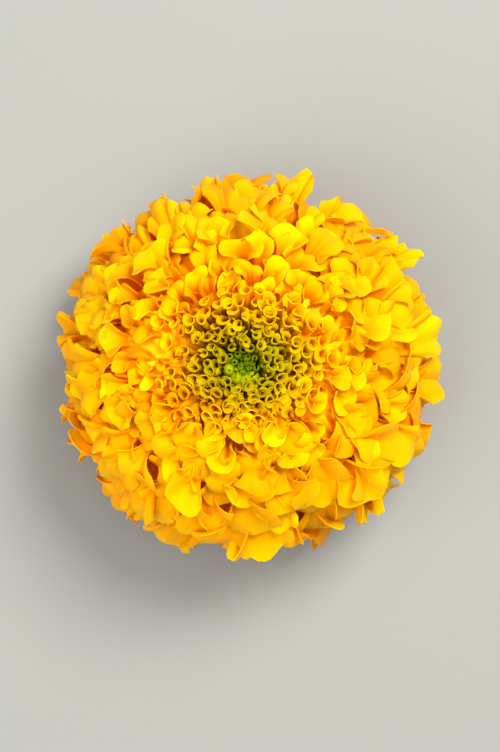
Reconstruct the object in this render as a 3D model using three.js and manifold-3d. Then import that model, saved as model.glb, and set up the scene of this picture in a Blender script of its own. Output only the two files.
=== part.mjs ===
// The picked head of a fully double African marigold, Tagetes erecta, resting face up on a surface.
// Units are millimetres, +Z is up, and the origin is the centre of the stalk's cut end.
//
// The real head grows like this, and this one is built the same way:
//   stalk             the cut end of the flower stalk, which spreads into the receptacle inside the cup
//   involucre         the green cup of joined bracts, ribbed and toothed, that grips the florets
//   ray_florets       the golden blades, rolled at the root and opening into waved, bent-back fans
//   quilled_florets   the younger florets near the middle, still rolled into open-mouthed tubes
//   young_florets     the youngest, short and green, in the pit at the very middle
// Each floret is placed by the golden angle, oldest outermost, and its small differences are seeded.
import * as THREE from "three";
import { mergeVertices } from "three/addons/utils/BufferGeometryUtils.js";
import Module from "manifold-3d";

// ---- Driving dimensions ----
const HEART_HEIGHT = 21; // height of the point on the axis that all the florets grow away from
const CUP_BASE = 2.6; // height of the involucre's base above the stalk's cut end
const CUP_RIM = 17.4; // height of the involucre's rim, in the notches between its teeth
const TOOTH_HEIGHT = 1.8;
const QUILL_ZONE = [6.4, 15.2]; // radii on the face of the head where the quilled florets open
const QUILL_SPREAD = 0.69; // slope of the cone, standing on the heart, that the quilled florets fill
const YOUNG_SPREAD = 0.205; // slope of the cone that the young florets fill
const QUILL_FOOT = 32; // height at which the quilled florets' packed tubes begin
const YOUNG_FOOT = 37; // height at which the young florets' packed tubes begin
const ABOVE_HEAD = 70; // a height above all the florets
const GAP = 0.3; // left between pieces that touch
const GOLDEN_ANGLE = Math.PI * (3 - Math.sqrt(5)); // turn from one floret to the next

const WELD = 1e-3; // points of a mesh nearer than this are one point
const FINENESS = 0.01; // points of a fused body are rounded to this
const SKIN_TOLERANCE = 0.12; // a fused body's skin may move this far, where that saves a triangle
const degrees = Math.PI / 180;
const mix = (a, b, t) => a + (b - a) * t;
const clamp01 = (t) => Math.min(1, Math.max(0, t));
const ease = (a, b, x) => {
  const t = clamp01((x - a) / (b - a));
  return t * t * (3 - 2 * t);
};

// A seeded number from -1 to 1 for floret i. The draw tells apart the numbers drawn for one floret.
function swing(i, draw) {
  let h = Math.imul(i + 1, 374761393) ^ Math.imul(draw + 11, 668265263);
  h = Math.imul(h ^ (h >>> 13), 1274126177);
  return ((h ^ (h >>> 16)) >>> 0) / 2147483648 - 1;
}

// ---- Geometry into solids, and solids back into geometry ----
const wasm = await Module();
wasm.setup();

function solidFrom(geometry) {
  const bare = new THREE.BufferGeometry();
  bare.setAttribute("position", geometry.getAttribute("position"));
  bare.setIndex(geometry.index);
  const merged = mergeVertices(bare, WELD);
  const mesh = new wasm.Mesh({
    numProp: 3,
    vertProperties: merged.attributes.position.array,
    triVerts: new Uint32Array(merged.index.array),
  });
  return new wasm.Manifold(mesh);
}

function geometryFrom(solid) {
  const { vertProperties, triVerts } = solid.getMesh();
  const geometry = new THREE.BufferGeometry();
  geometry.setAttribute("position", new THREE.BufferAttribute(vertProperties, 3));
  geometry.setIndex(new THREE.BufferAttribute(triVerts, 1));
  geometry.computeVertexNormals();
  return geometry;
}

// The outer body of a solid: pockets that fusing has sealed are filled, and loose scraps are dropped.
function wholeBody(solid) {
  return solid.decompose().reduce((best, body) => (body.volume() > best.volume() ? body : best));
}

function fused(solids) {
  const geometry = geometryFrom(wholeBody(wasm.Manifold.union(solids)).simplify(SKIN_TOLERANCE));
  const { array } = geometry.getAttribute("position");
  array.forEach((value, k) => (array[k] = Math.round(value / FINENESS) * FINENESS));
  return wholeBody(solidFrom(geometry));
}

// A solid of revolution. LatheGeometry turns about +Y, so it is tipped up to turn about +Z.
function turned(profile, segments) {
  const points = profile.map(([r, z]) => new THREE.Vector2(r, z));
  return new THREE.LatheGeometry(points, segments).rotateX(Math.PI / 2);
}

// ---- Stalk ----
// A soft green stalk, snapped off just under the cup, that swells into the receptacle.
const STALK_SIDE = [
  [0, 0], [3.5, 0], [3.7, 1.2], [4.2, 2.4], [4.4, 3.8],
  [7, 6.1], [8, 7.7], [7.3, 9], [4, 10.2], [0, 10.6],
];
const STALK_SEGMENTS = 24;

// ---- Involucre ----
// Bracts joined edge to edge into a cup. Each has a rib down its middle and a tooth at the rim.
const BRACTS = 9;
const RIB_HEIGHT = 0.45;
const CUP_WALL = [
  [4.9, CUP_BASE], [7.2, 3.8], [9.3, 6.5], [10.8, 10.1], [11.5, 13.7], [11.5, CUP_RIM],
  [10.6, CUP_RIM], [10.5, 13.7], [9.8, 10.3], [8.4, 7.1], [7, 5.4], [4.9, 3.7], [4.9, CUP_BASE],
];
const CUP_OUTSIDE_POINTS = 6; // the first points of the wall are its outside, and the next its inside
const SEGMENTS_PER_BRACT = 6;

function involucreGeometry() {
  const geometry = turned(CUP_WALL, BRACTS * SEGMENTS_PER_BRACT);
  const position = geometry.getAttribute("position");
  for (let k = 0; k < position.count; k++) {
    const [x, y, z] = [position.getX(k), position.getY(k), position.getZ(k)];
    const ring = k % CUP_WALL.length;
    const across = Math.cos(BRACTS * Math.atan2(y, x)); // 1 along a bract's rib, -1 where two bracts join
    const rib = ring > 0 && ring < CUP_OUTSIDE_POINTS ? RIB_HEIGHT * across : 0;
    const scale = 1 + rib / Math.hypot(x, y);
    const tooth = z > CUP_RIM - WELD ? TOOTH_HEIGHT * (0.5 + 0.5 * across) : 0;
    position.setXYZ(k, x * scale, y * scale, z + tooth);
  }
  return geometry;
}

// The room that the cup's wall takes up, with its ribs and teeth and a gap all round it.
function involucreRoom() {
  const reach = GAP + RIB_HEIGHT;
  const top = CUP_RIM + TOOTH_HEIGHT + GAP;
  const room = [
    [7, 0], [9.3 + reach, 6.5], [10.8 + reach, 10.1], [11.5 + reach, 13.7], [11.5 + reach, top],
    [10.6 - GAP, top], [10.5 - GAP, 13.7], [9.8 - GAP, 10.3], [7, 7.1], [7, 0],
  ];
  return solidFrom(turned(room, BRACTS * 4));
}

// ---- Ray florets ----
// Each is a straight rolled claw, a tube that bends outward, and a lip that flares from the tube's throat
// as a horn's does, cut away on the side that faces the middle of the head.
const RAY_COUNT = 87;
const RAY_COLUMNS = 5;
const RAY_ROWS = [-1, 0, 0.45, 1]; // from the root, at -1, to the throat, at 0, and the lip's edge, at 1
const RAY_THICKNESS = 0.9;
const CLAW_LENGTH = 10; // the claw runs straight this far from the heart before the tube bends
const CLAW_BORE = 1.3; // radius of the tube at its root
const CLAW_SPREAD = 140 * degrees; // how far round from its outer side the tube closes at its root
const FIRST_FLARE = 6 * degrees; // of the tube, where the lip begins

// The numbers of ray floret i. Rank 0 is the innermost and youngest, rank 1 the outermost and lowest.
function rayFloret(i) {
  const rank = (i + 0.5) / RAY_COUNT;
  const opened = ease(-0.1, 0.8, rank);
  const lowest = ease(0.72, 1, rank);
  return {
    turn: i * GOLDEN_ANGLE + 0.05 * swing(i, 1),
    lean: (mix(31, 104, rank ** 0.86) + 1.6 * swing(i, 2)) * degrees,
    droop: (mix(6, 22, rank) + 12 * lowest + 2 * swing(i, 3)) * degrees,
    throat: mix(28.3, 32.7, ease(-0.4, 1, rank)) + 1.5 * lowest + 0.6 * swing(i, 4), // from the heart
    bore: mix(1.7, 2.2, opened),
    lip: mix(7.6, 13, opened) * (1 + 0.12 * swing(i, 5)), // length from the throat to the lip's edge
    flare: mix(90, 95, opened) * (1 + 0.18 * swing(i, 6)) * degrees, // of the lip's edge
    spread: mix(105, 60, opened) * (1 + 0.12 * swing(i, 7)) * degrees, // of the lip, to either side
    sides: mix(0.6, 0.8, opened), // share of the lip's length at its sides
    skew: 0.35 * swing(i, 8), // how much more one side of the lip curls than the other
    root: mix(0.75, 0.4, lowest), // share of the throat's distance at which the tube is first clear
    twist: 30 * degrees * swing(i, 9),
  };
}

// The tube's middle line at a distance from the heart: its lean from +Z, its radius and its height.
function midline(floret, distance) {
  const bent = floret.throat - CLAW_LENGTH;
  const straight = Math.min(distance, CLAW_LENGTH);
  const lean = floret.lean + (floret.droop * Math.max(0, distance - CLAW_LENGTH)) / bent;
  const radius = bent / floret.droop;
  return {
    lean,
    r: straight * Math.sin(floret.lean) + radius * (Math.cos(floret.lean) - Math.cos(lean)),
    z: straight * Math.cos(floret.lean) + radius * (Math.sin(lean) - Math.sin(floret.lean)),
  };
}

// A point of a ray floret: u runs across it from -1 to 1, row along it, and lift is off its outer skin.
function rayPoint(floret, u, row, lift) {
  const distance = floret.throat * mix(1, floret.root, Math.max(0, -row));
  const { lean, r, z } = midline(floret, distance);
  const past = Math.max(0, row) * floret.lip * (1 - (1 - floret.sides) * Math.abs(u) ** 2.6);
  const curling = (floret.flare * (1 + floret.skew * u) - FIRST_FLARE) / floret.lip;
  const curled = FIRST_FLARE + curling * past;
  const tube = mix(floret.bore, CLAW_BORE, Math.max(0, -row));
  const radius = tube + (Math.cos(FIRST_FLARE) - Math.cos(curled)) / curling - lift * Math.cos(curled);
  const ahead = (Math.sin(curled) - Math.sin(FIRST_FLARE)) / curling + lift * Math.sin(curled);
  const around = u * mix(CLAW_SPREAD, floret.spread, (1 + row) / 2) + floret.twist;
  const outward = radius * Math.cos(around);
  const across = radius * Math.sin(around);
  const out = r + ahead * Math.sin(lean) + outward * Math.cos(lean);
  const up = z + ahead * Math.cos(lean) - outward * Math.sin(lean);
  const [cos, sin] = [Math.cos(floret.turn), Math.sin(floret.turn)];
  return [out * cos - across * sin, out * sin + across * cos, HEART_HEIGHT + up];
}

// A blade: a grid of points on two skins, a thickness apart, closed round its edge.
function rayBlade(i) {
  const floret = rayFloret(i);
  const [columns, rows] = [RAY_COLUMNS, RAY_ROWS.length];
  const positions = [];
  for (const lift of [0, RAY_THICKNESS])
    for (const row of RAY_ROWS)
      for (let c = 0; c < columns; c++)
        positions.push(...rayPoint(floret, (2 * c) / (columns - 1) - 1, row, lift));
  const at = (c, r, side) => (side * rows + r) * columns + c;
  const index = [];
  for (let r = 0; r + 1 < rows; r++)
    for (let c = 0; c + 1 < columns; c++) {
      index.push(at(c, r, 0), at(c + 1, r, 0), at(c + 1, r + 1, 0));
      index.push(at(c, r, 0), at(c + 1, r + 1, 0), at(c, r + 1, 0));
      index.push(at(c, r, 1), at(c + 1, r + 1, 1), at(c + 1, r, 1));
      index.push(at(c, r, 1), at(c, r + 1, 1), at(c + 1, r + 1, 1));
    }
  const rim = [];
  for (let c = 0; c + 1 < columns; c++) rim.push([c, 0]);
  for (let r = 0; r + 1 < rows; r++) rim.push([columns - 1, r]);
  for (let c = columns - 1; c > 0; c--) rim.push([c, rows - 1]);
  for (let r = rows - 1; r > 0; r--) rim.push([0, r]);
  rim.forEach(([c, r], k) => {
    const [d, s] = rim[(k + 1) % rim.length];
    index.push(at(c, r, 0), at(c, r, 1), at(d, s, 1), at(c, r, 0), at(d, s, 1), at(d, s, 0));
  });
  const geometry = new THREE.BufferGeometry();
  geometry.setAttribute("position", new THREE.Float32BufferAttribute(positions, 3));
  geometry.setIndex(index);
  return solidFrom(geometry);
}

const CORE_SEGMENTS = 28; // round each solid of packed tubes

// The packed claws of the ray florets, from inside the cup to just under the blades.
const RAY_CORE = [
  [0, 11.2], [7.4, 10.5], [9.1, 10.9], [9.9, 14], [10.1, 19.6], [17, 15.6], [25, 14.6], [30.4, 18.6],
  [31.6, 25], [30, 32], [25.4, 37], [18.8, 40], [13.2, 41.2], [0, 41.2],
];

function rayFlorets() {
  const solids = [solidFrom(turned(RAY_CORE, CORE_SEGMENTS))];
  for (let i = 0; i < RAY_COUNT; i++) solids.push(rayBlade(i));
  const cut = wasm.Manifold.union(solids)
    .subtract(involucreRoom())
    .subtract(coneRoom(QUILL_SPREAD, QUILL_FOOT))
    .trimByPlane([0, 0, 1], 0); // the lowest tips lie flat on the surface
  return fused([wholeBody(cut)]);
}

// The room for everything inside a cone that stands on the heart, from a height up, with a gap round it.
function coneRoom(spread, foot) {
  const radius = (z) => spread * (z - HEART_HEIGHT) + GAP;
  const [low, high] = [foot - GAP, ABOVE_HEAD];
  return solidFrom(turned([[0, low], [radius(foot), low], [radius(high), high], [0, high]], CORE_SEGMENTS));
}

// ---- Quilled and young florets ----
const QUILL_WALL = 0.7; // thickness of a tube at its mouth
const QUILL_PIT = 2; // depth of the pit in its mouth
const QUILL_TAPER = 0.6; // share of the mouth's width that is left at the tube's foot
const QUILL_FACES = 6; // round each tube
const CORE_INSET = 0.25; // of the packed tubes' side, inside the cone that the florets fill
const CORE_LEVEL = 0.5; // share of the packed tubes' radius, from the axis, where their top is level

// A tube that points away from the heart: its foot is sunk in the core, and its mouth, whose radius is
// given, is flared and has a pit in it. The middle of the mouth is at a radius and height from the heart.
function quill(turn, radius, height, mouth, length) {
  const reach = Math.hypot(radius, height);
  const foot = reach - length;
  const profile = [
    [0, foot], [QUILL_TAPER * mouth, foot],
    [mouth, reach], [mouth - QUILL_WALL, reach], [0, reach - QUILL_PIT],
  ];
  const geometry = turned(profile, QUILL_FACES);
  geometry.rotateY(Math.atan2(radius, height)).rotateZ(turn).translate(0, 0, HEART_HEIGHT);
  return solidFrom(geometry);
}

// The packed tubes below the mouths. Its side lies just inside the cone that the florets fill, and its
// top dips towards the middle.
function quillCore(spread, foot, top, dip) {
  const radius = (z) => spread * (z - HEART_HEIGHT) - CORE_INSET;
  const [inner, low] = [CORE_LEVEL * radius(top), top - dip];
  const profile = [[0, foot], [radius(foot), foot], [radius(top), top], [inner, low], [0, low]];
  return solidFrom(turned(profile, CORE_SEGMENTS));
}

const QUILL_COUNT = 46;
const QUILL_LENGTH = 8;
const FIRST_TURN = 0.3; // of the first quilled and the first young floret round the axis
const QUILL_CORE = [44.6, 3]; // height of the packed tubes' top, and how far it dips

function quilledFlorets() {
  const solids = [quillCore(QUILL_SPREAD, QUILL_FOOT, ...QUILL_CORE)];
  for (let i = 0; i < QUILL_COUNT; i++) {
    const rank = (i + 0.5) / QUILL_COUNT;
    const radius = Math.sqrt(mix(QUILL_ZONE[0] ** 2, QUILL_ZONE[1] ** 2, rank));
    const height = mix(43.6, 47.2, ease(0, 0.9, rank)) + 0.5 * swing(i, 21) - HEART_HEIGHT;
    const mouth = mix(1.75, 2.35, rank) * (1 + 0.06 * swing(i, 22));
    solids.push(quill(i * GOLDEN_ANGLE + FIRST_TURN, radius, height, mouth, QUILL_LENGTH));
  }
  return fused([wholeBody(wasm.Manifold.union(solids).subtract(coneRoom(YOUNG_SPREAD, YOUNG_FOOT)))]);
}

const YOUNG_COUNT = 12;
const YOUNG_ZONE = 3.2; // radius of the pit that the young florets stand in
const YOUNG_MOUTH = 0.77; // radius of a young floret's mouth
const YOUNG_LENGTH = 4;
const YOUNG_CORE = [38.9, 0.4]; // height of the packed tubes' top, and how far it dips

function youngFlorets() {
  const solids = [quillCore(YOUNG_SPREAD, YOUNG_FOOT, ...YOUNG_CORE)];
  for (let i = 0; i < YOUNG_COUNT; i++) {
    const rank = (i + 0.5) / YOUNG_COUNT;
    const height = mix(40.8, 42, rank) + 0.3 * swing(i, 31) - HEART_HEIGHT;
    const radius = YOUNG_ZONE * Math.sqrt(rank);
    solids.push(quill(i * GOLDEN_ANGLE + FIRST_TURN, radius, height, YOUNG_MOUTH, YOUNG_LENGTH));
  }
  return fused(solids);
}

// ---- The flower ----
const flower = new THREE.Group();

function add(name, geometry, color, roughness) {
  const mesh = new THREE.Mesh(geometry, new THREE.MeshStandardMaterial({ color, roughness, metalness: 0 }));
  mesh.name = name;
  flower.add(mesh);
}

add("stalk", turned(STALK_SIDE, STALK_SEGMENTS), 0x8fae4a, 0.6);
add("involucre", involucreGeometry(), 0x6f9a3c, 0.55);
add("ray_florets", geometryFrom(rayFlorets()), 0xffb400, 0.6);
add("quilled_florets", geometryFrom(quilledFlorets()), 0xe8c010, 0.6);
add("young_florets", geometryFrom(youngFlorets()), 0x9cb81c, 0.6);

export default flower;
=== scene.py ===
"""The look of a picked African marigold head, grown around its solids and seen as in the photograph.

Lengths are in millimetres and angles in degrees, and MM and DEG turn them into metres and radians
where a mesh or the camera takes them. Only the studio's lights and its floor are in metres.
"""

import math

import bpy
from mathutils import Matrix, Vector


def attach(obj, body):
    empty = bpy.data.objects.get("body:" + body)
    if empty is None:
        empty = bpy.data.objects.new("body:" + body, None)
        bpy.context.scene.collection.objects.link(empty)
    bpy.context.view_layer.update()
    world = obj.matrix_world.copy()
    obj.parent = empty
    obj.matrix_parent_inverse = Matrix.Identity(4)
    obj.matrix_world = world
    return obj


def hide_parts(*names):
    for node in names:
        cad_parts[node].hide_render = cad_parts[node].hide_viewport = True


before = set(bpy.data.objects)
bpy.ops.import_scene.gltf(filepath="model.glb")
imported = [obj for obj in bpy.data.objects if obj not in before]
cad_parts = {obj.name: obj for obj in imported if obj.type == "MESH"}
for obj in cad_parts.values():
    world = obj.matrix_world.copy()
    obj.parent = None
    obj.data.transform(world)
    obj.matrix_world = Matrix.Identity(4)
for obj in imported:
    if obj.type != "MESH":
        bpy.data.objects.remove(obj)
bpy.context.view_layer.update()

MM = 0.001
DEG = math.pi / 180


# ---------------------------------------------------------------------------------------------
# The stalk. A soft green flower stalk, snapped off just below the cup, that swells where it
# enters it. Its cut end shows the pale pith inside a thin green skin, and it stands on that end.
# ---------------------------------------------------------------------------------------------
def smooth_outline(corners, steps):
    """Points (radius, height) on a smooth line through the corners."""
    ends = [corners[0], *corners, corners[-1]]
    points = []
    for a, b, c, d in zip(ends, ends[1:], ends[2:], ends[3:]):
        for k in range(steps):
            t = k / steps
            points.append(
                tuple(
                    0.5
                    * (
                        2 * q
                        + (r - p) * t
                        + (2 * p - 5 * q + 4 * r - s) * t * t
                        + (3 * q - p - 3 * r + s) * t**3
                    )
                    for p, q, r, s in zip(a, b, c, d)
                )
            )
    return [*points, corners[-1]]


def turned_piece(name, outline, segments, relief, closes):
    """A mesh turned about the flower's axis. Relief moves a point, given its angle and its share
    of the outline. Where the outline closes on itself it is a wall, and else its ends are poles."""
    rows = outline if closes else outline[1:-1]
    points = []
    for row, (radius, height) in enumerate(rows):
        share = row / (len(rows) - 1)
        for k in range(segments):
            angle = 2 * math.pi * k / segments
            out, up = relief(angle, share, radius, height)
            reach = (radius + out) * MM
            points.append((reach * math.cos(angle), reach * math.sin(angle), (height + up) * MM))
    faces = []
    for row in range(len(rows) if closes else len(rows) - 1):
        low, high = row * segments, (row + 1) % len(rows) * segments
        for k in range(segments):
            n = (k + 1) % segments
            faces.append((low + k, low + n, high + n, high + k))
    if not closes:
        for pole, row, turn in ((outline[0], 0, 1), (outline[-1], len(rows) - 1, -1)):
            points.append((0, 0, pole[1] * MM))
            start = row * segments
            for k in range(segments):
                n = (k + 1) % segments
                faces.append((len(points) - 1, start + n, start + k)[::turn])
    mesh = bpy.data.meshes.new(name)
    mesh.from_pydata(points, [], faces)
    mesh.shade_smooth()
    piece = bpy.data.objects.new(name, mesh)
    bpy.context.scene.collection.objects.link(piece)
    return piece


def new_material(name):
    """A material with nodes, and two ways to add to them: make a node, and join two sockets."""
    material = bpy.data.materials.new(name)
    material.use_nodes = True
    nodes, links = material.node_tree.nodes, material.node_tree.links
    shader = nodes["Principled BSDF"]

    def make(kind, inputs=(), **settings):
        made = nodes.new(kind)
        for setting, value in settings.items():
            setattr(made, setting, value)
        for place, value in dict(inputs).items():
            if isinstance(value, bpy.types.NodeSocket):
                links.new(value, made.inputs[place])
            else:
                made.inputs[place].default_value = value
        return made

    return material, shader, make, links


def ramp(make, share, stops):
    """A colour that changes along a share from 0 to 1, through (place, colour) stops."""
    made = make("ShaderNodeValToRGB", {"Fac": share})
    elements = made.color_ramp.elements
    while len(elements) < len(stops):
        elements.new(0.5)
    for element, (place, colour) in zip(elements, stops):
        element.position = place
        element.color = (*colour, 1)
    return made.outputs["Color"]


def place_on_piece(make, scale=(1, 1, 1)):
    """Object coordinates, stretched."""
    coordinates = make("ShaderNodeTexCoord")
    return make("ShaderNodeMapping", {"Vector": coordinates.outputs["Object"], "Scale": scale}).outputs[0]


STALK_OUTLINE = [
    (0, 0.12), (2.4, 0.1), (3.3, 0), (3.52, 0.3), (3.7, 1.3), (4.1, 2.4), (4.35, 3.8),
    (6.6, 5.8), (7.8, 7.6), (7.2, 8.9), (4, 10.1), (0, 10.5),
]
STALK_SEGMENTS = 72
STALK_RIDGES = 11
STALK_RIDGE_RISE = 0.1
STALK_SWELL = 0.05  # how far the stalk is out of round
CUT_RADIUS = 3.3
CUT_EDGE = 0.6  # height above the cut at which the ridges reach their full rise
PITH_RADIUS = 3
PITH_HEIGHT = 0.2  # what lies inside the pith's radius and below this is the cut's face
PITH_ROUGHNESS = 0.05


def stalk_relief(angle, share, radius, height):
    """Ridges down the side, and a slightly rough pith on the cut end."""
    ridge = STALK_RIDGE_RISE * math.cos(STALK_RIDGES * angle) + STALK_SWELL * math.cos(3 * angle + 1)
    grip = min(1, radius / CUT_RADIUS) * min(1, max(0, height) / CUT_EDGE)
    on_pith = radius < PITH_RADIUS and height < PITH_HEIGHT
    rough = PITH_ROUGHNESS * math.sin(9 * angle + 2 * radius) * on_pith
    return ridge * grip, rough


stalk_line = smooth_outline(STALK_OUTLINE, 4)
stalk = turned_piece("cut_stalk", stalk_line, STALK_SEGMENTS, stalk_relief, False)

END_RADIUS = 3.4  # of the whole cut end, pith and skin, on which its colours are spread
END_HEIGHT = 0.25  # what lies lower than this has the cut end's colours
PITH_COLOURS = [(0, (0.62, 0.68, 0.4)), (0.72, (0.72, 0.75, 0.46)), (0.86, (0.36, 0.5, 0.14))]
SKIN_COLOURS = [(0.3, (0.15, 0.29, 0.05)), (0.7, (0.3, 0.44, 0.11))]
ALONG_STALK = (1, 1, 0.15)  # draws a pattern out along the stalk

stalk_skin, shader, make, links = new_material("stalk skin and pith")
split = make("ShaderNodeSeparateXYZ", {"Vector": place_on_piece(make)})
middle = make("ShaderNodeCombineXYZ", {"X": split.outputs["X"], "Y": split.outputs["Y"]})
reach = make("ShaderNodeVectorMath", {0: middle.outputs[0]}, operation="LENGTH").outputs["Value"]
reach_share = make("ShaderNodeMath", {0: reach, 1: 1 / (END_RADIUS * MM)}, operation="MULTIPLY")
pith = ramp(make, reach_share.outputs[0], PITH_COLOURS)
drawn_out = place_on_piece(make, ALONG_STALK)
streaks = make("ShaderNodeTexNoise", {"Vector": drawn_out, "Scale": 900, "Detail": 3})
skin = ramp(make, streaks.outputs["Fac"], SKIN_COLOURS)
on_end = make(
    "ShaderNodeMath", {0: split.outputs["Z"], 1: END_HEIGHT * MM}, operation="LESS_THAN"
).outputs[0]
colour = make("ShaderNodeMix", {"Factor": on_end, "A": skin, "B": pith}, data_type="RGBA")
links.new(colour.outputs["Result"], shader.inputs["Base Color"])
bump = make("ShaderNodeBump", {"Height": streaks.outputs["Fac"], "Strength": 0.4, "Distance": 0.1 * MM})
links.new(bump.outputs[0], shader.inputs["Normal"])
shader.inputs["Roughness"].default_value = 0.5
shader.inputs["Subsurface Weight"].default_value = 0.15
shader.inputs["Subsurface Radius"].default_value = (0.6 * MM, 0.9 * MM, 0.3 * MM)
shader.inputs["Subsurface Scale"].default_value = 1
stalk.data.materials.append(stalk_skin)
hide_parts("stalk")
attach(stalk, "root")


# ---------------------------------------------------------------------------------------------
# The involucre. Nine green bracts, grown together edge to edge into a cup that grips the
# florets. Each bract has a rib down its middle, a pointed tooth at the rim and rows of oil glands.
# ---------------------------------------------------------------------------------------------
BRACTS = 9
CUP_OUTSIDE = [(4.3, 2.5), (5.9, 2.9), (7.5, 4.1), (9.3, 6.5), (10.7, 10.1), (11.4, 13.7), (11.45, 17.3)]
CUP_INSIDE = [(10.85, 17.4), (10.6, 13.7), (9.9, 10.3), (8.5, 7.1), (6.9, 5.2), (4.5, 3.5)]
BRACT_SEGMENTS = 24
OUTSIDE_SHARE = 0.53  # of the wall's outline, which the ribs cover from the base almost to the rim
RIB_RISE = 0.42
RIB_ROUNDNESS = 0.7  # a lower power of the rib's wave makes a broader rib
VEIN_RISE = 0.07
VEINS = 5  # to each bract
BASE_HEIGHT = 2.6
BASE_FADE = 1.5  # height over which the ribs rise out of the base
RIM_HEIGHT = 17.35
RIM_BAND = 2.4  # the teeth rise from the part of the wall that is this near to the rim
TOOTH_RISE = 1.9
TOOTH_POINT = 1.3  # powers that draw the tooth to a point, across it and up it
TOOTH_TAPER = 1.5
TOOTH_LEAN = 0.35  # inward, against the florets


def bract_relief(angle, share, radius, height):
    """Full ribs and fine veins outside, and at the rim a tooth that is drawn to a point."""
    rib = abs(math.cos(BRACTS * angle / 2))
    raised = RIB_RISE * (2 * rib**RIB_ROUNDNESS - 1) + VEIN_RISE * math.cos(VEINS * BRACTS * angle)
    raised = raised * (share < OUTSIDE_SHARE) * min(1, (height - BASE_HEIGHT) / BASE_FADE)
    rim = max(0, 1 - abs(height - RIM_HEIGHT) / RIM_BAND)
    tooth = TOOTH_RISE * rib**TOOTH_POINT * rim**TOOTH_TAPER
    return raised - TOOTH_LEAN * rim * rib, tooth


cup_wall = smooth_outline(CUP_OUTSIDE, 5) + smooth_outline(CUP_INSIDE, 4)
cup = turned_piece("green_cup", cup_wall, BRACTS * BRACT_SEGMENTS, bract_relief, True)

BASE_TO_RIM_COLOURS = [(0, (0.2, 0.34, 0.08)), (0.55, (0.11, 0.24, 0.045)), (1, (0.19, 0.3, 0.07))]
MOTTLE_SHADES = [(0.3, (0.72, 0.76, 0.6)), (0.7, (1.15, 1.1, 1.1))]

leaf_green, shader, make, links = new_material("waxy green bract")
drawn_out = place_on_piece(make, (1, 1, 0.35))
mottle = make("ShaderNodeTexNoise", {"Vector": drawn_out, "Scale": 420, "Detail": 5})
height = make("ShaderNodeSeparateXYZ", {"Vector": place_on_piece(make)}).outputs["Z"]
height_share = make("ShaderNodeMapRange", {"Value": height, "From Min": 3 * MM, "From Max": 19 * MM})
colour = make(
    "ShaderNodeMix",
    {
        "Factor": 1.0,
        "A": ramp(make, height_share.outputs[0], BASE_TO_RIM_COLOURS),
        "B": ramp(make, mottle.outputs["Fac"], MOTTLE_SHADES),
    },
    data_type="RGBA",
    blend_type="MULTIPLY",
)
links.new(colour.outputs["Result"], shader.inputs["Base Color"])
pores = make("ShaderNodeTexVoronoi", {"Vector": place_on_piece(make, (1, 1, 0.6)), "Scale": 2600})
bump = make("ShaderNodeBump", {"Height": pores.outputs["Distance"], "Strength": 0.3, "Distance": 0.06 * MM})
links.new(bump.outputs[0], shader.inputs["Normal"])
shader.inputs["Roughness"].default_value = 0.42
shader.inputs["Coat Weight"].default_value = 0.12
shader.inputs["Coat Roughness"].default_value = 0.4
cup.data.materials.append(leaf_green)
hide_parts("involucre")
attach(cup, "root")


class Field:
    """A number that the nodes work out for each point of each floret, written as a sum."""

    def __init__(self, socket):
        self.socket = socket

    def __add__(self, other):
        return sum_node("ADD", self, other)

    def __radd__(self, other):
        return sum_node("ADD", other, self)

    def __sub__(self, other):
        return sum_node("SUBTRACT", self, other)

    def __rsub__(self, other):
        return sum_node("SUBTRACT", other, self)

    def __mul__(self, other):
        return sum_node("MULTIPLY", self, other)

    def __rmul__(self, other):
        return sum_node("MULTIPLY", other, self)

    def __truediv__(self, other):
        return sum_node("DIVIDE", self, other)


def tree_node(kind, inputs=(), **settings):
    """A node of the tree being made, with its settings made and its inputs set or joined."""
    made = tree.nodes.new(kind)
    for setting, value in settings.items():
        setattr(made, setting, value)
    for place, value in dict(inputs).items():
        value = value.socket if isinstance(value, Field) else value
        if isinstance(value, bpy.types.NodeSocket):
            tree.links.new(value, made.inputs[place])
        else:
            made.inputs[place].default_value = value
    return made


def sum_node(operation, *values):
    return Field(tree_node("ShaderNodeMath", enumerate(values), operation=operation).outputs[0])


def sine(x):
    return sum_node("SINE", x)


def cosine(x):
    return sum_node("COSINE", x)


def mix(a, b, share):
    return a + (b - a) * share


def ease(low, high, x):
    """Smoothly from 0 at low to 1 at high."""
    inputs = {"Value": x, "From Min": low, "From Max": high, "To Min": 0.0, "To Max": 1.0}
    return Field(tree_node("ShaderNodeMapRange", inputs, interpolation_type="SMOOTHSTEP").outputs[0])


def size(title):
    """A size that the tree is given, by its title."""
    return Field(group_input.outputs[title])


def new_tree(name, output, **inputs):
    """An empty tree with one geometry output, and its inputs' titles under each type of socket."""
    made = bpy.data.node_groups.new(name, "GeometryNodeTree")
    made.interface.new_socket(output, in_out="OUTPUT", socket_type="NodeSocketGeometry")
    for kind, titles in inputs.items():
        for title in titles:
            made.interface.new_socket(title, in_out="INPUT", socket_type="NodeSocket" + kind)
    return made


SHARP_EDGE = 50 * DEG  # an edge that turns more than this stays sharp, such as the rim of a petal


def grown(name, mesh, sizes, thickness=0):
    """A plain mesh from the tree, grown on a mesh with these sizes, and thickened if it is a sheet."""
    piece = bpy.data.objects.new(name, mesh)
    bpy.context.scene.collection.objects.link(piece)
    growth = piece.modifiers.new("growth", "NODES")
    growth.node_group = tree
    for item in tree.interface.items_tree:
        if item.in_out == "INPUT" and item.name in sizes:
            growth[item.identifier] = sizes[item.name]
    if thickness:
        flesh = piece.modifiers.new("thickness", "SOLIDIFY")
        flesh.thickness = thickness * MM
        flesh.offset = 0
    bpy.context.view_layer.update()
    evaluated = piece.evaluated_get(bpy.context.evaluated_depsgraph_get())
    grown_mesh = bpy.data.meshes.new_from_object(evaluated)
    piece.modifiers.clear()
    piece.data = grown_mesh
    grown_mesh.shade_smooth()
    grown_mesh.set_sharp_from_angle(angle=SHARP_EDGE)
    return piece


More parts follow.
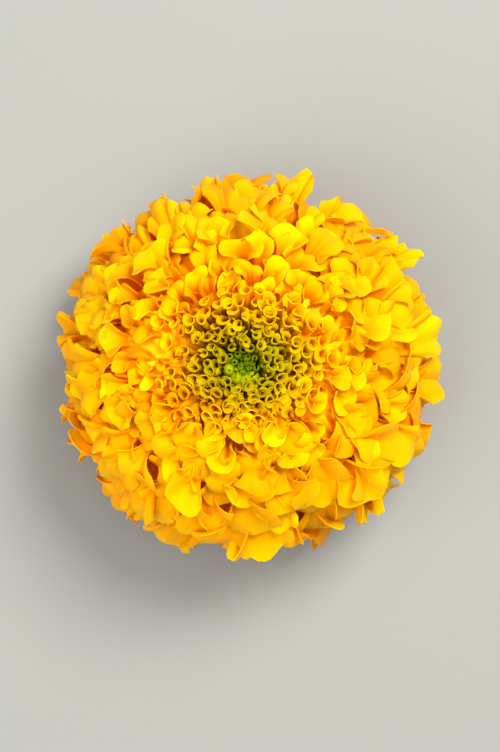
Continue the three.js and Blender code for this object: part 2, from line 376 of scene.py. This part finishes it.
# The oil glands: narrow amber drops that lie lengthwise in a band on either side of each rib.
GLAND_BAND = 0.6  # the band's middle, where 1 is a rib and 0 the seam of two bracts
GLAND_BAND_WIDTH = 0.25  # to either side of its middle
POINTS_ENOUGH = 4e6  # to the square metre, which is more than the spacing lets through

tree = new_tree(
    "Oil glands",
    "Glands",
    Geometry=["Cup"],
    Int=["Seed"],
    Float=["Bracts", "Spacing", "Length", "Width", "Height", "Lowest", "Highest"],
    Material=["Gland"],
)
group_input = tree_node("NodeGroupInput")
spot = tree_node("ShaderNodeSeparateXYZ", {0: tree_node("GeometryNodeInputPosition").outputs[0]})
facing = tree_node("ShaderNodeSeparateXYZ", {0: tree_node("GeometryNodeInputNormal").outputs[0]})
x, y, z = (Field(spot.outputs[axis]) for axis in "XYZ")
outward = x * Field(facing.outputs["X"]) + y * Field(facing.outputs["Y"])
rib = sum_node("ABSOLUTE", cosine(sum_node("ARCTAN2", y, x) * size("Bracts") * 0.5))
beside_rib = sum_node("LESS_THAN", sum_node("ABSOLUTE", rib - GLAND_BAND), GLAND_BAND_WIDTH)
at_height = sum_node("GREATER_THAN", z, size("Lowest")) * sum_node("LESS_THAN", z, size("Highest"))
scattered = tree_node(
    "GeometryNodeDistributePointsOnFaces",
    {
        "Mesh": size("Cup"),
        "Selection": sum_node("GREATER_THAN", outward, 0.0) * beside_rib * at_height,
        "Distance Min": size("Spacing"),
        "Density Max": POINTS_ENOUGH,
        "Seed": size("Seed"),
    },
    distribute_method="POISSON",
)
lengthwise = tree_node(
    "FunctionNodeAlignRotationToVector",
    {"Rotation": scattered.outputs["Rotation"], "Vector": (0, 0, 1)},
    axis="Y",
    pivot_axis="Z",
)
ball = tree_node("GeometryNodeMeshUVSphere", {"Segments": 10, "Rings": 6, "Radius": 0.5}).outputs["Mesh"]
extent = {"X": size("Width"), "Y": size("Length"), "Z": size("Height")}
extent = tree_node("ShaderNodeCombineXYZ", extent).outputs[0]
drops = tree_node(
    "GeometryNodeInstanceOnPoints",
    {
        "Points": scattered.outputs["Points"],
        "Instance": ball,
        "Rotation": lengthwise.outputs[0],
        "Scale": extent,
    },
).outputs[0]
drops = tree_node("GeometryNodeRealizeInstances", {"Geometry": drops}).outputs[0]
drops = tree_node("GeometryNodeSetMaterial", {"Geometry": drops, "Material": size("Gland")}).outputs[0]
tree_node("NodeGroupOutput", {"Glands": drops})

amber, shader, make, links = new_material("amber oil gland")
shader.inputs["Base Color"].default_value = (0.13, 0.12, 0.02, 1)
shader.inputs["Roughness"].default_value = 0.25
glands = grown(
    "oil_glands",
    cup.data.copy(),
    {
        "Seed": 3, "Bracts": float(BRACTS), "Spacing": 1.0 * MM, "Length": 0.75 * MM, "Width": 0.3 * MM,
        "Height": 0.16 * MM, "Lowest": 4.6 * MM, "Highest": 16.6 * MM, "Gland": amber,
    },
)
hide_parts("involucre")
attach(glands, "root")


# ---------------------------------------------------------------------------------------------
# The claws. Below the open florets their rolled claws crowd together into one firm, ridged
# mass, which fills the cup and closes the gaps between the petals with deep orange shade.
# ---------------------------------------------------------------------------------------------
CLAW_MASS = [
    (0, 11.2), (7.2, 10.8), (9, 11.6), (9.8, 14), (10, 19.4), (14, 21.2), (21, 22.4), (25.4, 25.4),
    (27, 29.4), (26, 35), (21.4, 39.9), (15.4, 42.2), (9.6, 40.6), (4.4, 37.4), (0, 37),
]

CLAW_RIDGES = 46
RIDGE_SEGMENTS = 6
RIDGE_WEAVE = 5  # how far the ridges weave from side to side, in radians of their own wave
WEAVES = 9  # half waves, along the outline
RIDGE_OUT = 0.5  # what the ridges stand out and up by
RIDGE_UP = 0.35
FULL_RIDGE_RADIUS = 12


def claw_relief(angle, share, radius, height):
    """Claws side by side, each a ridge that weaves in and out among the others."""
    weave = math.sin(CLAW_RIDGES * angle + RIDGE_WEAVE * math.sin(WEAVES * share * math.pi))
    ridge = min(1, radius / FULL_RIDGE_RADIUS) * weave
    return RIDGE_OUT * ridge, RIDGE_UP * ridge


claw_line = smooth_outline(CLAW_MASS, 5)
claws = turned_piece("packed_claws", claw_line, CLAW_RIDGES * RIDGE_SEGMENTS, claw_relief, False)

# The claws' own orange, deepened as painted shade for the gaps between the petals.
CLAW_AND_SHADE_COLOURS = [(0.3, (1.0, 0.36, 0.0)), (0.7, (1.0, 0.5, 0.0))]
VALUE_SWING = 0.06  # how far the florets' brightness and hue differ
HUE_SWING = 0.008
PETAL_VEINS = 34  # radians of the veins' wave over half the petal's width
MOTTLE_BUMP = 2.5  # height of the mottling, where the veins' wave is 1
UNDER_THROAT = -0.6  # where the throat's painted shade begins: 0 is the throat and 1 the lip's edge


def petal_material(name, throat, middle, lip, young, through, stops=(0.3, 0.62, 0.95)):
    """Petal flesh: colour runs from the throat to the lip, with its stops on the way, and the throat's
    deeper orange is painted shade. It turns green where the floret is young, and part of the light
    goes through."""
    material, shader, make, links = new_material(name)
    along = make("ShaderNodeAttribute", attribute_name="along").outputs["Fac"]
    across = make("ShaderNodeAttribute", attribute_name="across").outputs["Fac"]
    green = make("ShaderNodeAttribute", attribute_name="youth").outputs["Fac"]
    tint = make("ShaderNodeAttribute", attribute_name="tint").outputs["Fac"]
    throat_shade_share = make(
        "ShaderNodeMapRange", {"Value": along, "From Min": UNDER_THROAT, "From Max": 1.0}
    ).outputs[0]
    # Painted shade: the throat is coloured deeper than the lip, to darken it where the petal dips.
    painted_throat_shade = ramp(make, throat_shade_share, list(zip(stops, (throat, middle, lip))))
    mottle = make(
        "ShaderNodeTexNoise", {"Vector": place_on_piece(make), "Scale": 230, "Detail": 4}
    ).outputs["Fac"]
    blotch = make(
        "ShaderNodeMapRange",
        {"Value": mottle, "From Min": 0.3, "From Max": 0.7, "To Min": 0.9, "To Max": 1.06},
    ).outputs[0]
    value = make("ShaderNodeMath", {0: tint, 1: VALUE_SWING, 2: blotch}, operation="MULTIPLY_ADD")
    hue = make("ShaderNodeMath", {0: tint, 1: HUE_SWING, 2: 0.5}, operation="MULTIPLY_ADD")
    own = make(
        "ShaderNodeHueSaturation", {"Color": painted_throat_shade, "Hue": hue.outputs[0], "Value": value.outputs[0]}
    ).outputs["Color"]
    petal = make(
        "ShaderNodeMix", {"Factor": green, "A": own, "B": (*young, 1)}, data_type="RGBA"
    ).outputs["Result"]
    links.new(petal, shader.inputs["Base Color"])
    lines = make("ShaderNodeMath", {0: across, 1: PETAL_VEINS}, operation="MULTIPLY").outputs[0]
    veins = make("ShaderNodeMath", {0: lines}, operation="SINE").outputs[0]
    grain = make("ShaderNodeMath", {0: mottle, 1: MOTTLE_BUMP, 2: veins}, operation="MULTIPLY_ADD")
    bump = make(
        "ShaderNodeBump", {"Height": grain.outputs[0], "Strength": 0.22, "Distance": 0.06 * MM}
    )
    links.new(bump.outputs[0], shader.inputs["Normal"])
    shader.inputs["Roughness"].default_value = 0.5
    shader.inputs["Specular IOR Level"].default_value = 0.3
    shader.inputs["Specular Tint"].default_value = (1, 0.72, 0.05, 1)
    glow = make("ShaderNodeBsdfTranslucent", {"Color": petal})
    links.new(bump.outputs[0], glow.inputs["Normal"])
    both = make("ShaderNodeMixShader", {0: through, 1: shader.outputs[0], 2: glow.outputs[0]})
    links.new(both.outputs[0], material.node_tree.nodes["Material Output"].inputs["Surface"])
    return material


claw_flesh_and_shade, shader, make, links = new_material("packed claws, deepened as painted shade")
depth = make("ShaderNodeTexNoise", {"Vector": place_on_piece(make), "Scale": 300, "Detail": 4})
links.new(ramp(make, depth.outputs["Fac"], CLAW_AND_SHADE_COLOURS), shader.inputs["Base Color"])
shader.inputs["Specular IOR Level"].default_value = 0.05
bump = make("ShaderNodeBump", {"Height": depth.outputs["Fac"], "Strength": 0.5, "Distance": 0.2 * MM})
links.new(bump.outputs[0], shader.inputs["Normal"])
shader.inputs["Roughness"].default_value = 0.6
claws.data.materials.append(claw_flesh_and_shade)
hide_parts("ray_florets")
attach(claws, "root")


# ---------------------------------------------------------------------------------------------
# The ray florets. Each is one thin gold petal, rolled into a claw at its root, that opens into a
# waved fan. They stand on a spiral, oldest and lowest outermost, and bend back more as they age.
# ---------------------------------------------------------------------------------------------
GOLDEN_TURN = 180 * (3 - math.sqrt(5))
PARTING = 167 * DEG  # where the rolled florets part and leave a dark crevice
PARTING_WIDTH = 0.28
ROOMY_SIDE = -40 * DEG  # where the florets had more room, and opened lower and wider
ROOMY_SINK = 0.025
ROOMY_GROWTH = 0.19
HEART_HEIGHT = 21  # of the point on the axis that all the florets grow away from
CLAW_LENGTH = 10  # the claw is straight this far from the heart
CLAW_BORE = 0.85  # radius of the rolled claw
CLAW_SPREAD = 172 * DEG  # how far round from its outer side the rolled claw closes
FIRST_FLARE = 6 * DEG  # of the tube, where its lip begins
LONG_END = 0.6  # how much further out the middle's upper end is, as a share of how oval it is
LOWEST_FLORETS = 0.72  # age from which the florets take on the lowest ones' sizes
ROW_CROWDING = 0.5  # of the petal's rows towards its lip
OPENING_AGES = (-0.15, 0.9)  # from which age the florets open, and at which they all have
OPEN_BORE = 0.78  # share of the petal's length at which the tube has its full bore
RUFFLE_START = 0.7  # share of the petal's length from which it is ruffled
LOWEST_LIE = 0.35  # height of a petal that lies on the surface
LIE_ROUNDING = 2.0  # how smoothly it comes to lie

# How far the florets' sizes differ, as a share of each.
SWINGS = {"throat": 0.035, "droop": 0.25, "bore": 0.2, "lip": 0.24, "flare": 0.35, "spread": 0.25}
SIDES_SWING = 0.13
PEAK_SWING = 0.25  # of the lip's furthest point from its middle, where its side is 1

DRAWS_PER_SEED = 100

# The waves of a petal, each in radians over half its width, with what they do to it.
ANY_PHASE = 3.1  # a wave that starts up to this far to either side starts anywhere
SCALLOP_WAVES = 7.5
SCALLOP_DEPTH = 0.05  # in the lip's edge, as a share of its length
SLANT = 0.55  # of the lip's edge
LIP_WAVES = 2.4
LIP_WAVES_SWING = 0.8
LIP_SKEW = 0.42  # by how much more one side of the lip curls
LIP_UNEVENNESS = 0.24
CREASE_WAVES = 4.2
CREASE_DEPTH = 1.1  # of a crease, where the lip's wave is 1
CREASE_MEAN = 0.7  # taken off, so that the creases don't lift the whole lip
ROLLED_FROM = 150 * DEG  # half of a petal's turn about its axis, at which its edges near each other
ROLLED_BY = 175 * DEG
SCROLL = 0.12  # how far a rolled petal's edges pass over and under each other, by its radius
OUT_OF_ROUND = 0.13

FLORET_SIZES = (
    "First turn", "Turn step", "Turn swing", "Parting", "First lean", "Last lean", "Lean swing", "Crowding",
    "First drift", "Last drift",
    "First throat", "Last throat", "Lowest throat", "First droop", "Last droop", "Lowest droop",
    "First bore", "Last bore", "First lip", "Last lip", "First flare", "Last flare",
    "First spread", "Last spread", "First sides", "Last sides", "First ruffle", "Last ruffle",
    "Opening", "Root", "Lowest root", "Twist", "Sweep", "Variety", "First youth", "Last youth",
)
tree = new_tree(
    "Head of florets",
    "Head",
    Int=["Florets", "Seed", "Points across", "Points along"],
    Float=FLORET_SIZES,
    Material=["Petal"],
)
group_input = tree_node("NodeGroupInput")


def named(title, data_type="FLOAT"):
    """A number that was stored on the points by this title."""
    made = tree_node("GeometryNodeInputNamedAttribute", {"Name": title}, data_type=data_type)
    return Field(made.outputs[0])


def swing(draw):
    """A seeded number from -1 to 1 that belongs to the floret. The draw tells its numbers apart."""
    made = tree_node("FunctionNodeRandomValue", {2: -1.0, 3: 1.0, 7: floret}, data_type="FLOAT")
    seed = size("Seed") * DRAWS_PER_SEED + draw
    tree.links.new(seed.socket, made.inputs[8])
    return Field(made.outputs[1])


def any_phase(draw):
    return ANY_PHASE * swing(draw)


def stored(geometry, title, value, data_type="FLOAT"):
    inputs = {"Geometry": geometry, "Name": title, "Value": value}
    return tree_node("GeometryNodeStoreNamedAttribute", inputs, data_type=data_type).outputs[0]


# The petal as a flat sheet, -1 to 1 across and 0 to 1 along, set once for each floret.
sheet = tree_node(
    "GeometryNodeMeshGrid",
    {"Size X": 2.0, "Size Y": 1.0, "Vertices X": size("Points across"), "Vertices Y": size("Points along")},
).outputs["Mesh"]
flat = tree_node("ShaderNodeSeparateXYZ", {0: tree_node("GeometryNodeInputPosition").outputs[0]})
sheet = stored(sheet, "across", flat.outputs["X"])
sheet = stored(sheet, "sheet", Field(flat.outputs["Y"]) + 0.5)
spots = tree_node("GeometryNodePoints", {"Count": size("Florets")}).outputs[0]
spots = stored(spots, "floret", tree_node("GeometryNodeInputIndex").outputs[0], "INT")
copies = tree_node("GeometryNodeInstanceOnPoints", {"Points": spots, "Instance": sheet}).outputs[0]
petals = tree_node("GeometryNodeRealizeInstances", {"Geometry": copies}).outputs[0]

floret = named("floret", "INT")
across = named("across")
age = (floret + 0.5) / size("Florets")  # 0 is the youngest and innermost floret, 1 the oldest
lowest = ease(LOWEST_FLORETS, 1.0, age)


def aged(title):
    """A size that changes evenly from the youngest floret to the oldest."""
    return mix(size("First " + title), size("Last " + title), age)


def opened(title):
    """A size that changes as the florets open, which most of them have done by middle age."""
    return mix(size("First " + title), size("Last " + title), ease(*OPENING_AGES, age))


def varied(title, draw):
    """A factor for a size, which swings from floret to floret."""
    return 1 + size("Variety") * SWINGS[title] * swing(draw)


turn = (size("First turn") + floret * size("Turn step")) * DEG + size("Turn swing") * swing(1)
off_parting = sum_node("WRAP", turn - PARTING, math.pi, -math.pi) / PARTING_WIDTH
turn = turn + size("Parting") * off_parting * sum_node("EXPONENT", 0 - off_parting * off_parting)
off_centre = 1 + aged("drift") * (cosine(turn * 2.0) + LONG_END * sine(turn))
leaning = mix(size("First lean"), size("Last lean"), sum_node("POWER", age, size("Crowding")))
lean = (leaning + size("Lean swing") * swing(2)) * DEG * off_centre
roomy = cosine(turn - ROOMY_SIDE)
throat = (aged("throat") + size("Lowest throat") * lowest) * varied("throat", 3)
throat = throat * (1 - ROOMY_SINK * roomy)
droop = (aged("droop") + size("Lowest droop") * lowest) * DEG * varied("droop", 4)
bore = opened("bore") * varied("bore", 5)
lip = opened("lip") * varied("lip", 6) * (1 + ROOMY_GROWTH * roomy)
flare = opened("flare") * DEG * varied("flare", 7)
spread = opened("spread") * DEG * varied("spread", 8)
sides = opened("sides") + size("Variety") * SIDES_SWING * swing(9)
root = mix(size("Root"), size("Lowest root"), lowest)

# Along the petal: the claw is straight, the tube bends out, and the lip flares from the throat.
rows = named("sheet")
share = mix(root, 1.0, rows * (1 + ROW_CROWDING - ROW_CROWDING * rows))
scallop = SCALLOP_DEPTH * sine(across * SCALLOP_WAVES + any_phase(10)) * size("Variety")
off_peak = sum_node("ABSOLUTE", across - PEAK_SWING * size("Variety") * swing(21))
lip_edge = 1 - (1 - sides) * sum_node("POWER", off_peak, 2.0) - scallop
slant = SLANT * size("Variety") * sine(across * math.pi + any_phase(19))
distance = share * (throat + lip * lip_edge + slant)
straight = sum_node("MINIMUM", distance, CLAW_LENGTH)
bent = sum_node("MAXIMUM", sum_node("MINIMUM", distance, throat) - CLAW_LENGTH, 0.0)
past_throat = sum_node("MAXIMUM", distance - throat, 0.0)
bend = droop / (throat - CLAW_LENGTH)
axis = lean + bend * bent
reach = straight * sine(lean) + (cosine(lean) - cosine(axis)) / bend
rise = straight * cosine(lean) + (sine(axis) - sine(lean)) / bend

# The lip: each line of it curls away from the floret's own axis, more at one side than the other.
wave = sine(across * (LIP_WAVES + LIP_WAVES_SWING * swing(11)) + any_phase(12))
uneven = 1 + size("Variety") * (LIP_SKEW * across * swing(13) + LIP_UNEVENNESS * wave)
curling = (flare * uneven - FIRST_FLARE) / lip
curled = FIRST_FLARE + curling * past_throat
open_share = ease(size("Opening"), 1.0, share)
crease = sum_node("ABSOLUTE", sine(across * (CREASE_WAVES + swing(14)) + any_phase(15)))
waves = wave + CREASE_DEPTH * crease - CREASE_MEAN
lift = aged("ruffle") * waves * ease(RUFFLE_START, 1.0, share)
radius = mix(CLAW_BORE, bore, ease(root, OPEN_BORE, share))
radius = radius + (math.cos(FIRST_FLARE) - cosine(curled)) / curling - lift * cosine(curled)
ahead = (sine(curled) - math.sin(FIRST_FLARE)) / curling + lift * sine(curled)

# Across the petal: its angle round the floret's axis, from the side that faces out of the head.
half_angle = mix(CLAW_SPREAD, spread, open_share)
round_axis = across * half_angle + size("Twist") * DEG * swing(16)
rolled = ease(ROLLED_FROM, ROLLED_BY, half_angle)
radius = radius * (1 + SCROLL * across * rolled)
radius = radius * (1 + OUT_OF_ROUND * size("Variety") * sine(round_axis * 2.0 + any_phase(20)))
outward = radius * cosine(round_axis)
swept = radius * sine(round_axis) + size("Sweep") * swing(17) * share * share

# Set round the head's axis. A petal that would pass through the surface below lies on it.
out = reach + ahead * sine(axis) + outward * cosine(axis)
up = rise + ahead * cosine(axis) - outward * sine(axis) + HEART_HEIGHT
up = sum_node("SMOOTH_MAX", up, LOWEST_LIE, LIE_ROUNDING)
place = tree_node(
    "ShaderNodeCombineXYZ",
    {
        "X": (out * cosine(turn) - swept * sine(turn)) * MM,
        "Y": (out * sine(turn) + swept * cosine(turn)) * MM,
        "Z": up * MM,
    },
)
petals = tree_node("GeometryNodeSetPosition", {"Geometry": petals, "Position": place.outputs[0]}).outputs[0]
petals = stored(petals, "along", (distance - throat) / lip)
petals = stored(petals, "tint", swing(18))
petals = stored(petals, "youth", aged("youth"))
petals = tree_node("GeometryNodeRealizeInstances", {"Geometry": petals}).outputs[0]
petals = tree_node("GeometryNodeSetMaterial", {"Geometry": petals, "Material": size("Petal")}).outputs[0]
tree_node("NodeGroupOutput", {"Head": petals})


def florets_of(name, petal, thickness, **sizes):
    """A plain mesh of florets, whose counts are whole numbers and whose sizes aren't."""
    counts = ("florets", "seed", "points_across", "points_along")
    sizes = {title: value if title in counts else float(value) for title, value in sizes.items()}
    sizes = {title.replace("_", " ").capitalize(): value for title, value in sizes.items()}
    return grown(name, bpy.data.meshes.new(name), {**sizes, "Petal": petal}, thickness)


OPEN_PETAL_STOPS = (0.4, 0.68, 1.0)  # the throat's painted shade reaches further out on an open petal
# Its deeper orange throat is painted shade; the lip's yellow is the petal's own gold.
ray_petal = petal_material(
    "gold ray petal",
    throat=(1.0, 0.35, 0.0),
    middle=(1.0, 0.5, 0.0),
    lip=(1.0, 0.66, 0.0),
    young=(0.55, 0.5, 0.0),
    through=0.42,
    stops=OPEN_PETAL_STOPS,
)
# Painted shade: the lowest fans are a deeper gold, where the head turns away from the light.
skirt_petal_painted_shade = petal_material(
    "skirt petal, deepened as painted shade",
    throat=(1.0, 0.35, 0.0),
    middle=(1.0, 0.47, 0.0),
    lip=(1.0, 0.59, 0.0),
    young=(0.55, 0.5, 0.0),
    through=0.42,
    stops=OPEN_PETAL_STOPS,
)
UPPER_FANS = 268
fans = florets_of(
    "upper_fans", ray_petal, 0.22,
    florets=UPPER_FANS, seed=5, points_across=15, points_along=12,
    first_turn=0, turn_step=GOLDEN_TURN, turn_swing=0.05, parting=0.05,
    first_lean=30, last_lean=74, lean_swing=2, crowding=1, first_drift=0.17, last_drift=0,
    first_throat=28, last_throat=32.3, lowest_throat=0,
    first_droop=5, last_droop=12, lowest_droop=0,
    first_bore=0.9, last_bore=1.5, first_lip=2.5, last_lip=9.8, first_flare=85, last_flare=100,
    first_spread=130, last_spread=56, first_sides=0.58, last_sides=0.76,
    first_ruffle=0.35, last_ruffle=1.6,
    opening=0.5, root=0.45, lowest_root=0.4, twist=38, sweep=2, variety=1,
    first_youth=0.12, last_youth=0,
)
skirt = florets_of(
    "skirt_fans", skirt_petal_painted_shade, 0.22,
    florets=200, seed=6, points_across=13, points_along=15,
    first_turn=UPPER_FANS * GOLDEN_TURN, turn_step=GOLDEN_TURN, turn_swing=0.07, parting=0,
    first_lean=73, last_lean=107, lean_swing=2.2, crowding=0.82, first_drift=0, last_drift=0,
    first_throat=31.8, last_throat=32.6, lowest_throat=1.6,
    first_droop=13, last_droop=24, lowest_droop=14,
    first_bore=1.6, last_bore=1.8, first_lip=9.8, last_lip=10.6, first_flare=78, last_flare=62,
    first_spread=56, last_spread=48, first_sides=0.66, last_sides=0.76,
    first_ruffle=1.2, last_ruffle=1.3,
    opening=0.45, root=0.36, lowest_root=0.26, twist=28, sweep=2, variety=1.3,
    first_youth=0, last_youth=0,
)
for rays in (fans, skirt):
    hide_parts("ray_florets")
    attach(rays, "root")


# ---------------------------------------------------------------------------------------------
# The quilled florets. Younger petals nearer the middle, still rolled into narrow scrolls, so that
# their mouths show as small rings. They turn from gold to yellow green towards the middle.
# ---------------------------------------------------------------------------------------------
# Its deeper orange throat, inside each rolled tube, is painted shade.
quill_petal = petal_material(
    "yellow quill petal",
    throat=(1.0, 0.38, 0.0),
    middle=(1.0, 0.47, 0.0),
    lip=(1.0, 0.6, 0.0),
    young=(0.42, 0.39, 0.0),
    through=0.38,
)
quills = florets_of(
    "ring_quills", quill_petal, 0.24,
    florets=205, seed=8, points_across=15, points_along=9,
    first_turn=20, turn_step=GOLDEN_TURN, turn_swing=0.05, parting=0.2,
    first_lean=8.8, last_lean=32, lean_swing=0.9, crowding=0.8, first_drift=0.12, last_drift=0.17,
    first_throat=23.4, last_throat=28, lowest_throat=0,
    first_droop=2, last_droop=6, lowest_droop=0,
    first_bore=0.56, last_bore=0.68, first_lip=0.5, last_lip=1.2, first_flare=40, last_flare=66,
    first_spread=174, last_spread=158, first_sides=1, last_sides=0.82,
    first_ruffle=0.03, last_ruffle=0.12,
    opening=0.8, root=0.62, lowest_root=0.62, twist=150, sweep=0.8, variety=1,
    first_youth=0.85, last_youth=0,
)
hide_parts("quilled_florets")
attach(quills, "root")


# ---------------------------------------------------------------------------------------------
# The young florets. The last to open, short and still closed, in the green pit at the very middle.
# ---------------------------------------------------------------------------------------------
# Its darker green throat, low in the pit, is painted shade.
young_petal = petal_material(
    "green bud petal",
    throat=(0.12, 0.16, 0.0),
    middle=(0.26, 0.34, 0.0),
    lip=(0.42, 0.48, 0.0),
    young=(0.16, 0.26, 0.0),
    through=0.25,
)
buds = florets_of(
    "green_buds", young_petal, 0.24,
    florets=24, seed=2, points_across=13, points_along=10,
    first_turn=0, turn_step=GOLDEN_TURN, turn_swing=0.15, parting=0,
    first_lean=1.5, last_lean=10, lean_swing=1, crowding=1, first_drift=0, last_drift=0,
    first_throat=18.4, last_throat=21.4, lowest_throat=0,
    first_droop=2, last_droop=3, lowest_droop=0,
    first_bore=0.62, last_bore=0.7, first_lip=1.1, last_lip=0.9, first_flare=-85, last_flare=-35,
    first_spread=174, last_spread=172, first_sides=1, last_sides=1,
    first_ruffle=0.02, last_ruffle=0.04,
    opening=0.8, root=0.7, lowest_root=0.7, twist=180, sweep=0.3, variety=0.5,
    first_youth=0.9, last_youth=0.3,
)
plump_buds = florets_of(
    "plump_buds", young_petal, 0.3,
    florets=4, seed=3, points_across=17, points_along=14,
    first_turn=196, turn_step=37, turn_swing=0.1, parting=0,
    first_lean=13, last_lean=12, lean_swing=0.8, crowding=1, first_drift=0, last_drift=0,
    first_throat=21.2, last_throat=21.8, lowest_throat=0,
    first_droop=-14, last_droop=-18, lowest_droop=0,
    first_bore=1.1, last_bore=1.15, first_lip=1.8, last_lip=1.7, first_flare=-80, last_flare=-70,
    first_spread=176, last_spread=176, first_sides=1, last_sides=1,
    first_ruffle=0.02, last_ruffle=0.04,
    opening=0.9, root=0.7, lowest_root=0.7, twist=180, sweep=0.2, variety=0.4,
    first_youth=0.1, last_youth=0,
)
for young in (buds, plump_buds):
    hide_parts("young_florets")
    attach(young, "root")


# ---------------------------------------------------------------------------------------------
# The studio. A plain grey floor, with sunny light from the upper right, soft light from the lower
# left and from overhead, and the camera straight above. It stands just off the axis, which puts
# the head in its place in the picture.
# ---------------------------------------------------------------------------------------------
def new_light(name, place, aim, width, power, colour):
    light = bpy.data.lights.new(name, "AREA")
    light.energy = power
    light.size = width
    light.color = colour
    holder = bpy.data.objects.new(name, light)
    bpy.context.scene.collection.objects.link(holder)
    holder.location = place
    direction = [a - p for a, p in zip(aim, place)]
    holder.rotation_mode = "QUATERNION"
    holder.rotation_quaternion = Vector(direction).to_track_quat("-Z", "Y")


SUNNY = (1.0, 0.97, 0.92)
SOFT = (1.0, 0.98, 0.95)
HEAD_MIDDLE = (0, 0, 0.03)
new_light("key", place=(0.35, 0.4, 0.75), aim=HEAD_MIDDLE, width=0.4, power=12.4, colour=SUNNY)
new_light("fill", place=(-0.6, -0.35, 0.6), aim=HEAD_MIDDLE, width=0.8, power=6, colour=SOFT)
new_light("overhead", place=(0, 0, 1), aim=(0, 0, 0), width=1, power=5, colour=SOFT)
world = bpy.data.worlds.new("studio")
world.use_nodes = True
sky = world.node_tree.nodes["Background"]
sky.inputs["Color"].default_value = (*SOFT, 1)
sky.inputs["Strength"].default_value = 0.48
bpy.context.scene.world = world

FLOOR_DROP = 0.1  # below the surface that the flower rests on, so that the two don't flicker
bpy.ops.mesh.primitive_plane_add(size=4, location=(0, 0, -FLOOR_DROP * MM))
floor = bpy.context.active_object
floor.name = "floor"
floor_paint, shader, make, links = new_material("grey floor")
shader.inputs["Base Color"].default_value = (0.25, 0.255, 0.24, 1)
shader.inputs["Roughness"].default_value = 0.8
floor.data.materials.append(floor_paint)

camera = bpy.data.cameras.new("camera")
camera.lens = 104.6
camera.sensor_width = 36
camera.clip_start = 0.02
camera_holder = bpy.data.objects.new("camera", camera)
bpy.context.scene.collection.objects.link(camera_holder)
camera_holder.location = (1.1 * MM, -1.9 * MM, 475 * MM)
bpy.context.scene.camera = camera_holder
bpy.context.scene.view_settings.view_transform = "Standard"
